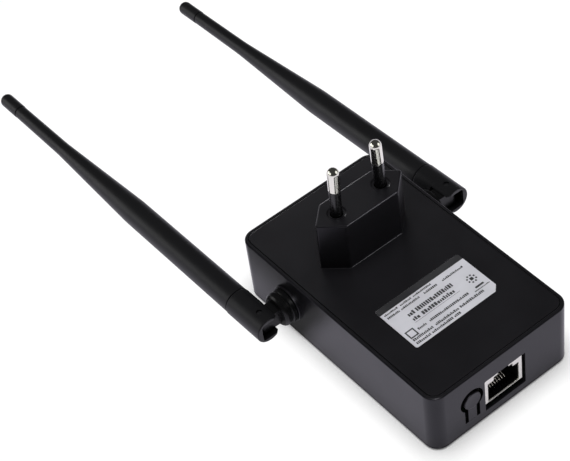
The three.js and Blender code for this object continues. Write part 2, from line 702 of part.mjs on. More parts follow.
function swivelClip() {
  const shape = new THREE.Shape()
  const half = CLIP.gapAngle / 2
  shape.absarc(0, 0, CLIP.radius, half, 2 * Math.PI - half)
  shape.absarc(0, 0, CLIP.bore, 2 * Math.PI - half, half, true)
  shape.closePath()
  const options = { depth: CLIP.thickness, bevelEnabled: false, curveSegments: MEDIUM }
  const ring = new THREE.ExtrudeGeometry(shape, options)
  return ring.rotateY(-Math.PI / 2).translate(-CLIP.start, 0, 0)
}

function antennaFork() {
  const { radius, end, top, edge, round } = FORK
  const outline = closed([
    [CABLE_HOLE, -end],
    [radius - edge, -end],
    [radius, -end + edge],
    [radius, top - edge],
    [radius - edge, top],
    [SOCKET.radius, top],
    [SOCKET.radius, SOCKET.bottom],
    [CABLE_HOLE, SOCKET.bottom],
  ])
  const outside = radius + PAST
  const { half, wall } = FORK_SLOT
  const slot = block(-outside, wall, -end - PAST, FORK_SLOT.top, -half, half)
  const quarter = block(-outside, 0, -end - PAST, 0, -outside, outside)
  const cornerCut = cut(quarter, rodZ(0, 0, round, -outside - PAST, outside + PAST, FINE))
  const pinBore = rodZ(0, 0, HINGE_PIN.fit, -outside, outside)
  return cut(turned(outline), slot, cornerCut, pinBore)
}

function antennaTube() {
  const outline = [
    [SPIGOT.bore, SPIGOT.bottom],
    [SPIGOT.radius, SPIGOT.bottom],
    [SPIGOT.radius, TUBE_BASE],
    ...TUBE_TAPER,
    ...TUBE_BORE,
  ]
  return turned(closed(outline), MEDIUM)
}

function antennaTip() {
  const { radius, start, end, plug, plugLength } = TIP
  const dome = [30, 60].map((angle) => {
    const turn = THREE.MathUtils.degToRad(angle)
    return [radius * Math.cos(turn), end - radius + radius * Math.sin(turn)]
  })
  const outline = [
    [0, start - plugLength],
    [plug, start - plugLength],
    [plug, start],
    [radius, start],
    [radius, end - radius],
    ...dome,
    [0, end],
  ]
  return turned(outline, MEDIUM)
}

function radiatorRod() {
  const ends = [[0, RADIATOR[0][1]], ...RADIATOR, [0, RADIATOR.at(-1)[1]]]
  return turned(ends, COARSE)
}

for (const { name, sign, tilt, splay } of SIDES) {
  const wallSeat = new THREE.Group()
  wallSeat.position.set((sign * CASE_WIDTH) / 2, PIVOT_Y, PIVOT_Z)
  wallSeat.rotation.y = sign < 0 ? Math.PI : 0
  extender.add(wallSeat)

  const swivel = new THREE.Group()
  swivel.rotation.x = THREE.MathUtils.degToRad(tilt)
  wallSeat.add(swivel)
  add(`${name}_swivel_arm`, swivelArm(), softBlack, swivel)
  add(`${name}_swivel_clip`, swivelClip(), steel, swivel)

  const antenna = new THREE.Group()
  antenna.position.x = HINGE_OUT
  antenna.rotation.z = THREE.MathUtils.degToRad(splay)
  swivel.add(antenna)
  add(`${name}_hinge_pin`, rodZ(0, 0, HINGE_PIN.radius, -HINGE_PIN.half, HINGE_PIN.half), blackSteel, antenna)
  add(`${name}_antenna_fork`, antennaFork(), antennaBlack, antenna)
  add(`${name}_antenna_tube`, antennaTube(), antennaBlack, antenna)
  add(`${name}_antenna_tip`, antennaTip(), antennaBlack, antenna)
  add(`${name}_radiator`, radiatorRod(), brass, antenna)

  const cableEnd = CASE_WIDTH / 2 - NECK.inside - COAX.neckGap
  const cable = [
    [14, 9, BOARD_TOP + COAX.radius + COAX.boardGap],
    [16.5, 12, BOARD_TOP + 2 * COAX.radius + 2 * COAX.boardGap],
    [18.6, 17.5, 11],
    [20.6, 21.6, 13.2],
    [cableEnd, PIVOT_Y, PIVOT_Z],
  ]
  add(`${name}_coax`, wire(cable.map(([x, y, z]) => [sign * x, y, z]), COAX.radius), greyWire)
}

export default extender
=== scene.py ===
from collections import namedtuple
import json
import math
import random

import bmesh
import bpy
from mathutils import Matrix, Vector


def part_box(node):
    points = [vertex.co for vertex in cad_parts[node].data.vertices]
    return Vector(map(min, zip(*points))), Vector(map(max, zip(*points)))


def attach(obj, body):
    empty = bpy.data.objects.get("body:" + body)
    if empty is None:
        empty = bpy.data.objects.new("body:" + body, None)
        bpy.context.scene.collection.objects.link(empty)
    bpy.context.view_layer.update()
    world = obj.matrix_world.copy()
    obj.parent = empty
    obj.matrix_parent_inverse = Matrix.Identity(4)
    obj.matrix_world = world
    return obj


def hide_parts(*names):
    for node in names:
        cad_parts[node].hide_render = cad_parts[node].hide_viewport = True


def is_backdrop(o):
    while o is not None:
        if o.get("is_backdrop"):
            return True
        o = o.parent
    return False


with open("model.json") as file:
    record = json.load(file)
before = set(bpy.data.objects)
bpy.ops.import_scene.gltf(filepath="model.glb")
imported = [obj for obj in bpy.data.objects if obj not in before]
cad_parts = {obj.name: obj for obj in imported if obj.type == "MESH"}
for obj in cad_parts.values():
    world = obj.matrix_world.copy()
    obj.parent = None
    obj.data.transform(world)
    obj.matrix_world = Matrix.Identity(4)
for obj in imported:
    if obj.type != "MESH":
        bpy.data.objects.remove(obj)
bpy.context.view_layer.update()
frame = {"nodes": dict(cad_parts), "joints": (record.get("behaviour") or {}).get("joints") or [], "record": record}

# Shapes are drawn in millimetres and become metres when their mesh is made.
MM = 0.001


def box_mm(node):
    low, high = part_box(node)
    return low / MM, high / MM


# ---- Driving sizes, from the frame ----
panel_low, panel_high = box_mm("front_panel")
DEPTH = box_mm("front_housing")[1].z
BLOCK_TOP = box_mm("rear_cover")[1].z
label_low, label_high = box_mm("rating_label")
shell_low, shell_high = box_mm("jack_shell")
insert_low, insert_high = box_mm("jack_insert")
button_low, button_high = box_mm("reset_button")
window_low, window_high = box_mm("led_window")
pin_low, pin_high = box_mm("left_plug_pin")
plunger_low, plunger_high = box_mm("switch_plunger")
WIDTH = panel_high.x - panel_low.x
LENGTH = panel_high.y - panel_low.y
SEAM_Z = panel_high.z
END_WALL = -LENGTH / 2
PIN_Y = (pin_low.y + pin_high.y) / 2
SOCKET_X = (shell_low.x + shell_high.x) / 2
BUTTON_X = (button_low.x + button_high.x) / 2
JOINTS = {joint["name"]: joint for joint in frame["joints"]}
SIDES = {-1: "left", 1: "right"}
PRESSED_GAP = 0.02  # between faces that are pressed together
PAST = 1  # how far a cutter runs past the face it cuts

# ---- Case details ----
CORNER = 5
WALL = 1.8
RIM = 1.3
COVER_GAP = 0.14
COVER_THICKNESS = 2.1
COVER_BASE = DEPTH - COVER_THICKNESS + PRESSED_GAP
COVER_ROUND = 0.2
FLOOR_TOP = 3
FLOOR_ROUND = 0.6
TOP_ROUND = 0.55
RIM_ROUND = 0.18
FOOT_ROUND = 0.8
SEAM_CHAMFER = 0.14
LIP_HEIGHT = 1.8
LIP_THICKNESS = 1.2
LIP_OVERLAP = 0.5
WINDOW_WALL = 0.12
WINDOW_ROUND = 0.4

# ---- Plug block and pins ----
BLOCK_TIP = 18.4
BLOCK_SHOULDER = 11
BLOCK_HALF = 6.85
BLOCK_WALL = 1.6
BLOCK_ROOF = 2
BLOCK_EDGE = 0.55
BLOCK_COVE = 0.3
BLOCK_POINT_ROUND = 0.9
BLOCK_BEND_ROUND = 1.4
BLOCK_LEAST_ROUND = 0.2
PIN_SPACING = 18.6
PIN_LEAN = math.radians(1.65)
PIN_LENGTH = 19.59
PIN_RADIUS = 2.05
PIN_CORE = 1.5
PIN_INSIDE = 12.6
SLEEVE_RADIUS = 1.95
SLEEVE_LENGTH = 10.2
SLEEVE_INSIDE = 1.9
SLEEVE_CLEARANCE = 0.12
PIN_SHOULDER = SLEEVE_LENGTH + 0.15
RECESS_RADIUS = 3.1
RECESS_DEPTH = 0.3

# ---- End wall ----
PORT_OPENING = {"low_x": -8.05, "high_x": 9.15, "low_z": 3.9, "high_z": 18.25}
PORT_OPENING_ROUND = 0.35
PORT_WIDTH = 13.1
PORT_HEIGHT = 8.55
PORT_FLOOR = 0.6
PORT_DEPTH = 14
PORT_CORNER = 0.2
SHELL_SHEET = 0.4
SHELL_ROUND = 0.3
RIB_HALF = 0.2
KEYWAY_STEPS = ((8, 1.5), (4.5, 2.5))  # (width, height above the port)
CONTACT_COUNT = 8
CONTACT_PITCH = 1.02
CONTACT_FRONT = 3.2
CONTACT_WIDTH = 0.3
CONTACT_THICKNESS = 0.26
TONGUE_HEAD = 3.4
TONGUE_NECK = 1.8
TONGUE_SLOT = 1.3
TONGUE_ROOT_GAP = 0.06
TONGUE_RAISE = 0.4
PRESS_BOSS_RADIUS = 1.5

# ---- Swivels: distances out from the case wall ----
HINGE_OUT = 11.95
SEAT_RADIUS = 6.7
SEAT_HEIGHT = 0.9
SEAT_ROOT = 0.6
NECK_RADIUS = 4.2
NECK_HOLE = 4.4
NECK_HOLE_REACH = 3  # how far its cutter runs to each side of the wall's face
NECK_INSIDE = 5
CLIP_GROOVE_RADIUS = 3.5
CABLE_BORE = 1.2
CABLE_CUTTER = 1.19
KNUCKLE_START = 4
KNUCKLE_RADIUS = 2.75
KNUCKLE_HALF = 3.2
KNUCKLE_BORE = 1.12

# ---- Antennas: distances from the fold hinge, along the antenna ----
FORK_RADIUS = 5.05
FORK_END = -4.8
FORK_TOP = 12.3
FORK_SLOT_HALF = 3.5
FORK_SLOT_WALL = 3
FORK_SLOT_TOP = 4
FORK_SLOT_ROUND = 1.1
FORK_HEEL_RADIUS = 5.3
FORK_EDGE = 0.35
SOCKET_RADIUS = 3.95
SOCKET_BOTTOM = 6.5
CABLE_HOLE = 1.1
HINGE_PIN_RADIUS = 1
HINGE_PIN_HALF = 4.6
HINGE_PIN_BORE = 1.05
TUBE_START = 12.55
TUBE_END = 141.4
TIP_START = 141.65
TIP_END = 152.45
TIP_RADIUS = 2.55
TIP_PLUG_RADIUS = 1.3
TIP_PLUG_LENGTH = 4
SPIGOT_RADIUS = 3.7
SPIGOT_BOTTOM = 7
TUBE_BORE = 3.4
TUBE_BORE_END = 68

# ---- Photograph's viewpoint, in metres ----
CAMERA_PLACE = Vector((-0.2438, -0.3215, 0.4789))
CAMERA_AIM = Vector((-0.0030, 0.0607, 0))
CAMERA_ROLL = math.radians(-9.09)
CAMERA_LENS = 117.8

# ---- Light, in metres. brightness is what a lamp's face gives off: the white table is about 1. ----
# lights names the group that a lamp falls on, and shows says if it gives them shade, gloss or both.
Softbox = namedtuple("Softbox", "place size brightness lights shows colour", defaults=[(1, 1, 1)])
ROOM_LEVEL = 0.05
ABOVE = (-0.03, 0.02, 1.3)
LILAC = (1.04, 1, 1.17)
SOFTBOXES = {
    "table_light": Softbox(ABOVE, 0.8, 10.8, "table", "shade"),
    "gloss_table_light": Softbox(ABOVE, 0.8, 10, "table_in_gloss", "shade", LILAC),
    "overhead": Softbox(ABOVE, 0.8, 10.8, "all", "shade"),
    "overhead_gloss": Softbox(ABOVE, 0.8, 5.5, "flat", "gloss"),
    "far_left": Softbox((-0.8, 0.95, 0.42), 0.8, 1.9, "round", "both"),
    "far_right": Softbox((0.55, 1.1, 0.6), 0.7, 1.3, "flat", "both"),
    "edge_near": Softbox((-0.4, -0.7, 0.95), 0.5, 20, "sides", "gloss"),
    "block_edge": Softbox((0.55, -0.95, 0.72), 0.5, 17, "block", "gloss"),
    "block_fill": Softbox((0.8, -0.9, 0.2), 0.5, 13, "block", "shade"),
    "edge_far": Softbox((0.38, 1.24, 0.25), 0.4, 14, "cover", "gloss"),
    "pin_left": Softbox((-1.15, 0.2, 0.55), 1, 1.2, "pins", "gloss"),
    "pin_right": Softbox((0.85, -0.7, 0.55), 1, 1.2, "pins", "gloss"),
}
LIGHT_AIM = Vector((0, 0.04, 0.01))
TABLE_HALF = 3
TABLE_HEIGHT = -0.0001
GLOSS_TABLE_HEIGHT = -0.00005

# ---- Label ----
FILM_TOP = label_high.z - 0.04
PRINT_BASE = FILM_TOP + 0.001
PRINT_TOP = label_high.z - 0.02
LABEL_CLIP = 2.1
LABEL_CORNER = 0.8
BAND_END = -10.75
BAND_INSET = 0.02
PRINT_SEED = 11
# Rows of plain marks, as (y, height, mark width, spans in x).
PRINT_ROWS = (
    (-11.65, 0.75, 0.42, ((-16.9, -11.6), (-10.3, -5.7), (-4.8, 2.9))),
    (-13.2, 0.8, 0.45, ((-16.8, -11.8), (-11.1, -3.6), (-1.4, 4.4), (6.4, 14.9))),
    (-16.55, 1.65, 0.72, ((-11.2, -8.3), (-7.8, 7.4))),
    (-19.0, 1.5, 0.75, ((-11.2, -8.2), (-7.3, 6.5))),
    (-22.95, 0.95, 0.5, ((-12.6, -9.3), (-7.7, 9.0))),
    (-25.45, 1.0, 0.5, ((-16.8, -8.3), (-7.4, 2.3), (3.0, 13.3))),
    (-27.1, 0.95, 0.5, ((-16.8, -10.9), (-10.3, -1.8), (-0.9, 1.7))),
    (-24.1, 0.45, 0.34, ((10.7, 16.9),)),
)
# Plain bars, as (x, y, width, height).
PRINT_BARS = ((-2, -20.4, 19, 0.1), (13.7, -22.95, 3.5, 0.75))
FRAME_MARK = {"x": -15.2, "y": -22.95, "size": 3.4, "line": 0.5}
RING_MARK = {"x": 13.7, "y": -19.2, "radius": 1.55, "dot": 0.62, "count": 8}


# ======== Outlines ========
NEARLY_STRAIGHT = math.radians(89.9)


def filleted(points, closed=False, step=math.radians(11)):
    """Points (x, y, radius) joined by straight lines, with each corner rounded to its radius."""
    corners = [(Vector((x, y)), radius) for x, y, radius in points]
    count = len(corners)
    outline = []
    for i, (corner, radius) in enumerate(corners):
        at_end = not closed and i in (0, count - 1)
        if at_end or radius <= 0:
            outline.append(corner)
            continue
        back = (corners[i - 1][0] - corner).normalized()
        ahead = (corners[(i + 1) % count][0] - corner).normalized()
        half = back.angle(ahead) / 2
        if half > NEARLY_STRAIGHT:
            outline.append(corner)
            continue
        start = corner + back * (radius / math.tan(half))
        centre = corner + (back + ahead).normalized() * (radius / math.sin(half))
        turn = math.pi - 2 * half
        if back.x * ahead.y - back.y * ahead.x > 0:
            turn = -turn
        steps = max(2, math.ceil(abs(turn) / step))
        spoke = start - centre
        for k in range(steps + 1):
            outline.append(centre + Matrix.Rotation(turn * k / steps, 2) @ spoke)
    return outline


def flat_points(points):
    return [(p.x, p.y) for p in points]


def rounded_rectangle(width, length, radius, step=math.radians(9)):
    x, y = width / 2, length / 2
    corners = [(x, y, radius), (-x, y, radius), (-x, -y, radius), (x, -y, radius)]
    return filleted(corners, closed=True, step=step)


def case_outline(inset):
    return rounded_rectangle(WIDTH - 2 * inset, LENGTH - 2 * inset, CORNER - inset)


def block_outline(inset):
    """The plug block's six sides, drawn to a point at each end, moved in by inset."""
    run = BLOCK_TIP - BLOCK_SHOULDER
    half = BLOCK_HALF - inset
    tip = BLOCK_TIP - inset * math.hypot(run, BLOCK_HALF) / BLOCK_HALF
    shoulder = tip - run * half / BLOCK_HALF
    point = max(BLOCK_LEAST_ROUND, BLOCK_POINT_ROUND - inset)
    bend = max(BLOCK_LEAST_ROUND, BLOCK_BEND_ROUND - inset)
    corners = [
        (tip, 0, point), (shoulder, half, bend), (-shoulder, half, bend),
        (-tip, 0, point), (-shoulder, -half, bend), (shoulder, -half, bend),
    ]
    return [Vector((p.x, p.y + PIN_Y)) for p in filleted(corners, closed=True)]


def tongue_outline(margin, root):
    """The reset tongue seen from outside: a round head on a straight neck, in X and Z."""
    z = button_high.z - TONGUE_HEAD
    radius = TONGUE_HEAD + margin
    neck = TONGUE_NECK + margin
    start = -math.pi / 2 + math.asin(neck / radius)
    sweep = math.pi - 2 * start
    steps = 40
    outline = [Vector((BUTTON_X - neck, root)), Vector((BUTTON_X + neck, root))]
    for k in range(steps + 1):
        angle = start + sweep * k / steps
        outline.append(Vector((BUTTON_X + radius * math.cos(angle), z + radius * math.sin(angle))))
    return outline


# ======== Solids ========
def tidy(bm):
    bmesh.ops.remove_doubles(bm, verts=bm.verts, dist=1e-4)
    bmesh.ops.recalc_face_normals(bm, faces=bm.faces)
    return bm


def loft(rings, capped=True):
    """A skin over rings with equal counts of points; the ends are capped, or joined to each other."""
    bm = bmesh.new()
    rows = [[bm.verts.new(point) for point in ring] for ring in rings]
    follow = rows[1:] if capped else rows[1:] + rows[:1]
    for row, above in zip(rows, follow):
        for i in range(len(row)):
            j = (i + 1) % len(row)
            bm.faces.new((row[i], row[j], above[j], above[i]))
    if capped:
        bm.faces.new(rows[0][::-1])
        bm.faces.new(rows[-1])
    return tidy(bm)


def stack(outline, profile):
    """A solid whose section at each (inset, z) of the profile is outline(inset)."""
    return loft([[(p.x, p.y, z) for p in outline(inset)] for inset, z in profile])


def ring_stack(outline, profile):
    """The same, with its last section joined back to its first: a closed rim."""
    return loft([[(p.x, p.y, z) for p in outline(inset)] for inset, z in profile], capped=False)


def prism(outline, low, high, plane="xy"):
    """An outline's straight solid along the axis that its plane leaves out."""
    place = {
        "xy": lambda p, h: (p.x, p.y, h),
        "xz": lambda p, h: (p.x, h, p.y),
        "yz": lambda p, h: (h, p.x, p.y),
    }[plane]
    return loft([[place(p, h) for p in outline] for h in (low, high)])


def turned(profile, axis="z", steps=64):
    """A (radius, height) profile turned round an axis. It ends on the axis or closes on itself."""
    rings = []
    for k in range(steps):
        angle = 2 * math.pi * k / steps
        cos, sin = math.cos(angle), math.sin(angle)
        place = {
            "x": lambda r, h: (h, r * cos, r * sin),
            "y": lambda r, h: (r * sin, h, r * cos),
            "z": lambda r, h: (r * cos, r * sin, h),
        }[axis]
        rings.append([place(r, h) for r, h in profile])
    bm = bmesh.new()
    rows = [[bm.verts.new(point) for point in ring] for ring in rings]
    for row, beside in zip(rows, rows[1:] + rows[:1]):
        for i in range(len(profile) - 1):
            bm.faces.new((row[i], row[i + 1], beside[i + 1], beside[i]))
    tidy(bm)
    flat = [face for face in bm.faces if face.calc_area() < 1e-9]
    bmesh.ops.delete(bm, geom=flat, context="FACES_ONLY")
    return tidy(bm)


def block(low, high, rounding=0):
    """A box from corner to corner, its upright edges rounded."""
    centre = Vector(((low[0] + high[0]) / 2, (low[1] + high[1]) / 2))
    outline = rounded_rectangle(high[0] - low[0], high[1] - low[1], rounding, math.radians(30))
    return prism([p + centre for p in outline], low[2], high[2])


def strip(path, width, thickness):
    """A flat wire of that width along X, with softened edges, following a path of (y, z) points."""
    half, edge = width / 2, 0.1
    corners = [(-half, -1, edge), (half, -1, edge), (half, 1, edge), (-half, 1, edge)]
    section = filleted(corners, closed=True, step=math.radians(45))
    rings = []
    for i, point in enumerate(path):
        before = path[max(i - 1, 0)]
        after = path[min(i + 1, len(path) - 1)]
        along = (after - before).normalized()
        across = Vector((-along.y, along.x)) * thickness / 2
        rings.append([(p.x, point.x + across.x * p.y, point.y + across.y * p.y) for p in section])
    return loft(rings)


# ======== Objects ========
def solid(name, bm, place=Matrix.Identity(4)):
    mesh = bpy.data.meshes.new(name)
    bm.transform(place @ Matrix.Scale(MM, 4))
    bm.to_mesh(mesh)
    bm.free()
    piece = bpy.data.objects.new(name, mesh)
    bpy.context.scene.collection.objects.link(piece)
    return piece


def settle(piece):
    """Applies the piece's modifiers."""
    graph = bpy.context.evaluated_depsgraph_get()
    mesh = bpy.data.meshes.new_from_object(piece.evaluated_get(graph))
    piece.modifiers.clear()
    old = piece.data
    piece.data = mesh
    bpy.data.meshes.remove(old)
    return piece


def combine(piece, operation, *tools):
    """Cuts tools from piece or joins them to it; each tool is a bmesh or an object."""
    for tool in tools:
        other = tool if isinstance(tool, bpy.types.Object) else solid("tool", tool)
        modifier = piece.modifiers.new("combine", "BOOLEAN")
        modifier.operation = operation
        modifier.solver = "EXACT"
        modifier.object = other
        settle(piece)
        bpy.data.objects.remove(other)
    return piece


def cut(piece, *tools):
    return combine(piece, "DIFFERENCE", *tools)


def join(piece, *tools):
    return combine(piece, "UNION", *tools)


def soften(piece, width, limit=40, segments=2):
    """Rounds edges sharper than limit degrees by width millimetres."""
    modifier = piece.modifiers.new("soften", "BEVEL")
    modifier.width = width * MM
    modifier.segments = segments
    modifier.limit_method = "ANGLE"
    modifier.angle_limit = math.radians(limit)
    modifier.miter_outer = "MITER_ARC"
    return settle(piece)


def smooth(piece, limit=34):
    """Smooth shading that breaks at edges sharper than limit degrees."""
    bm = bmesh.new()
    bm.from_mesh(piece.data)
    for face in bm.faces:
        face.smooth = True
    for edge in bm.edges:
        edge.smooth = edge.calc_face_angle(0) < math.radians(limit)
    bm.to_mesh(piece.data)
    bm.free()
    modifier = piece.modifiers.new("even_normals", "WEIGHTED_NORMAL")
    modifier.keep_sharp = True
    modifier.weight = 100
    return piece


def place_piece(piece, body, slot, material, *nodes):
    smooth(piece)
    piece.data.materials.clear()
    piece.data.materials.append(material)
    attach(piece, body)
    if nodes:
        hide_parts(*nodes)
    return piece


# ======== Materials ========
NOISE_LOW = 0.3
NOISE_HIGH = 0.7


def finish(
    name,
    colour,
    roughness,
    metallic=0.0,
    variation=0.12,
    patch=6.0,
    rough_variation=0.06,
    grain=0.25,
    grain_depth=0.006,
    stretch=(1, 1, 1),
    **settings,
):
    """A procedural finish. patch and grain are the sizes in mm of its colour patches and its bumps."""
    material = bpy.data.materials.new(name)
    material.use_nodes = True
    nodes, links = material.node_tree.nodes, material.node_tree.links
    shader = nodes["Principled BSDF"]
    shader.inputs["Metallic"].default_value = metallic
    for key, value in settings.items():
        shader.inputs[key.replace("_", " ")].default_value = value

    place = nodes.new("ShaderNodeTexCoord")
    scaled = nodes.new("ShaderNodeMapping")
    scaled.inputs["Scale"].default_value = stretch
    links.new(place.outputs["Object"], scaled.inputs["Vector"])

    patches = nodes.new("ShaderNodeTexNoise")
    patches.inputs["Scale"].default_value = 1 / (patch * MM)
    patches.inputs["Detail"].default_value = 4
    links.new(scaled.outputs["Vector"], patches.inputs["Vector"])

    tint = nodes.new("ShaderNodeValToRGB")
    tint.color_ramp.elements[0].position = NOISE_LOW
    tint.color_ramp.elements[1].position = NOISE_HIGH
    tint.color_ramp.elements[0].color = [c * (1 - variation) for c in colour] + [1]
    tint.color_ramp.elements[1].color = [c * (1 + variation) for c in colour] + [1]
    links.new(patches.outputs["Fac"], tint.inputs["Fac"])
    links.new(tint.outputs["Color"], shader.inputs["Base Color"])

    sheen = nodes.new("ShaderNodeMapRange")
    sheen.inputs["From Min"].default_value = NOISE_LOW
    sheen.inputs["From Max"].default_value = NOISE_HIGH
    sheen.inputs["To Min"].default_value = roughness - rough_variation
    sheen.inputs["To Max"].default_value = roughness + rough_variation
    links.new(patches.outputs["Fac"], sheen.inputs["Value"])
    links.new(sheen.outputs["Result"], shader.inputs["Roughness"])

    texture = nodes.new("ShaderNodeTexNoise")
    texture.inputs["Scale"].default_value = 1 / (grain * MM)
    texture.inputs["Detail"].default_value = 3
    links.new(scaled.outputs["Vector"], texture.inputs["Vector"])
    bump = nodes.new("ShaderNodeBump")
    bump.inputs["Strength"].default_value = 1
    bump.inputs["Distance"].default_value = grain_depth * MM
    links.new(texture.outputs["Fac"], bump.inputs["Height"])
    links.new(bump.outputs["Normal"], shader.inputs["Normal"])
    return material


case_black = finish("case_black", (0.0062, 0.006, 0.007), 0.3, variation=0.06, rough_variation=0.02,
                    patch=14, grain=0.22, grain_depth=0.003, IOR=1.38, Specular_IOR_Level=0.36,
                    Specular_Tint=(0.92, 0.9, 1, 1))
gloss_black = finish("gloss_black", (0.006, 0.006, 0.007), 0.12, rough_variation=0.03, grain=3,
                     grain_depth=0.003)
antenna_black = finish("antenna_black", (0.0075, 0.0075, 0.0082), 0.42, variation=0.06,
                       rough_variation=0.03, patch=10, grain=0.18, grain_depth=0.004, IOR=1.38,
                       Specular_IOR_Level=0.5)
soft_black = finish("soft_black", (0.004, 0.004, 0.0042), 0.3, variation=0.06, rough_variation=0.03,
                    grain=0.2, grain_depth=0.003, IOR=1.38, Specular_IOR_Level=0.34)
sleeve_black = finish("sleeve_black", (0.004, 0.004, 0.0045), 0.26, rough_variation=0.02, grain=0.25,
                      grain_depth=0.002)
nickel = finish("nickel", (0.78, 0.77, 0.68), 0.14, 1, variation=0.04, rough_variation=0.04,
                grain=0.4, grain_depth=0.0012, stretch=(1, 1, 0.15))
tinned_steel = finish("tinned_steel", (0.67, 0.66, 0.6), 0.34, 1, variation=0.05, grain=0.3,
                      grain_depth=0.002, stretch=(0.2, 1, 1))
gold_plate = finish("gold_plate", (0.97, 0.92, 0.84), 0.26, 1, variation=0.05, grain=0.2,
                    grain_depth=0.001)
black_steel = finish("black_steel", (0.03, 0.03, 0.032), 0.38, 1, grain=0.3, grain_depth=0.002)
turned_brass = finish("turned_brass", (0.7, 0.5, 0.22), 0.3, 1, grain=0.2, grain_depth=0.002,
                      stretch=(1, 8, 1))
label_film = finish("label_film", (0.54, 0.54, 0.58), 0.45, 0.1, variation=0.05, patch=9, grain=0.12,
                    grain_depth=0.002)
label_ink = finish("label_ink", (0.02, 0.02, 0.022), 0.5, variation=0.1, grain=0.12, grain_depth=0.002)
label_band_ink = finish("label_band_ink", (0.022, 0.022, 0.024), 0.34, variation=0.1, grain=0.12,
                        grain_depth=0.002)
smoked_window = finish("smoked_window", (0.012, 0.013, 0.015), 0.08, rough_variation=0.02, grain=4,
                       grain_depth=0.002)
clear_guide = finish("clear_guide", (0.85, 0.9, 0.92), 0.12, variation=0.03, grain=3, grain_depth=0.003,
                     Transmission_Weight=0.7, IOR=1.49)
white_plastic = finish("white_plastic", (0.8, 0.79, 0.75), 0.45, variation=0.03)
board_green = finish("board_green", (0.012, 0.1, 0.035), 0.3, patch=3, variation=0.25, grain=0.6,
                     grain_depth=0.01)
chip_black = finish("chip_black", (0.016, 0.016, 0.016), 0.5, grain=0.12, grain_depth=0.004)
ferrite = finish("ferrite", (0.035, 0.035, 0.036), 0.6, grain=0.15, grain_depth=0.01)
winding_tape = finish("winding_tape", (0.7, 0.48, 0.05), 0.4, patch=4, grain=1, grain_depth=0.02,
                      stretch=(1, 1, 5))
capacitor_sleeve = finish("capacitor_sleeve", (0.01, 0.02, 0.055), 0.3, grain=1.5, grain_depth=0.006)
disc_blue = finish("disc_blue", (0.02, 0.12, 0.42), 0.3, grain=0.8, grain_depth=0.03)
resistor_green = finish("resistor_green", (0.09, 0.22, 0.12), 0.35, grain=0.8, grain_depth=0.02)
brown_wire = finish("brown_wire", (0.12, 0.04, 0.015), 0.45)
blue_wire = finish("blue_wire", (0.01, 0.05, 0.3), 0.45)
grey_wire = finish("grey_wire", (0.13, 0.135, 0.14), 0.45)
table_white = finish("table_white", (0.88, 0.88, 0.88), 0.6, variation=0.004, patch=200, grain=2,
                     grain_depth=0.002, Emission_Color=(1, 1, 1, 1), Emission_Strength=0.19)

# The record's slot of each CAD node that stays in view, and the material it takes.
SLOT_MATERIALS = {
    "case_black": case_black,
    "gloss_black": gloss_black,
    "antenna_black": antenna_black,
    "soft_black": soft_black,
    "nickel_pin": nickel,
    "steel": tinned_steel,
    "black_steel": black_steel,
    "gold_contact": gold_plate,
    "smoked_window": smoked_window,
    "clear_guide": clear_guide,
    "white_plastic": white_plastic,
    "board_green": board_green,
    "chip_black": chip_black,
    "winding_yellow": winding_tape,
    "capacitor_sleeve": capacitor_sleeve,
    "ferrite": ferrite,
    "disc_blue": disc_blue,
    "resistor_green": resistor_green,
    "brown_wire": brown_wire,
    "blue_wire": blue_wire,
    "grey_wire": grey_wire,
    "brass": turned_brass,
    "silver_label": label_film,
}


# ======== Case ========
def front_panel():
    """The plate that closes the front, with the hole for the status window."""
    profile = filleted([
        (FOOT_ROUND, 0, 0), (0, 0, FOOT_ROUND), (0, SEAM_Z - SEAM_CHAMFER, 0), (SEAM_CHAMFER, SEAM_Z, 0),
    ])
    plate = solid("front_panel_fine", stack(case_outline, flat_points(profile)))
    low = (window_low.x - WINDOW_WALL, window_low.y - WINDOW_WALL, -PAST)
    high = (window_high.x + WINDOW_WALL, window_high.y + WINDOW_WALL, SEAM_Z + PAST)
    return cut(plate, block(low, high, WINDOW_ROUND))


def at_swivel(sign, bm):
    """Moves a shape from the origin to where the swivel leaves the case wall."""
    bm.transform(Matrix.Translation(Vector(JOINTS[SIDES[sign] + "_swivel_turn"]["pos_m"]) / MM))
    return bm


def swivel_seat(sign):
    """The raised ring that each swivel turns in, standing on the case's side wall."""
    profile = filleted([
        (NECK_HOLE, -SEAT_ROOT, 0), (SEAT_RADIUS, -SEAT_ROOT, 0), (SEAT_RADIUS, SEAT_HEIGHT, 0.3),
        (NECK_HOLE, SEAT_HEIGHT, 0.15), (NECK_HOLE, -SEAT_ROOT, 0),
    ])
    return at_swivel(sign, turned([(p.x, p.y * sign) for p in profile], "x"))


def neck_hole(sign):
    reach = NECK_HOLE_REACH
    profile = [(0, -reach), (NECK_HOLE, -reach), (NECK_HOLE, reach), (0, reach)]
    return at_swivel(sign, turned(profile, "x"))


def end_wall_cutter(outline_at, flare=0.12, depth=4):
    """Cuts an opening through the -Y wall, with a slightly flared mouth."""
    levels = [
        (flare, END_WALL - PAST), (flare, END_WALL), (flare * 0.3, END_WALL + flare * 0.3),
        (0, END_WALL + flare), (0, END_WALL + depth),
    ]
    return loft([[(p.x, y, p.y) for p in outline_at(margin)] for margin, y in levels])


def port_outline(margin):
    low_x, high_x = PORT_OPENING["low_x"] - margin, PORT_OPENING["high_x"] + margin
    low_z, high_z = PORT_OPENING["low_z"] - margin, PORT_OPENING["high_z"] + margin
    corners = [(low_x, low_z), (high_x, low_z), (high_x, high_z), (low_x, high_z)]
    return filleted([(x, z, PORT_OPENING_ROUND + margin) for x, z in corners], closed=True)


def keyhole_outline(margin):
    return tongue_outline(TONGUE_SLOT + margin, button_low.z - TONGUE_ROOT_GAP)


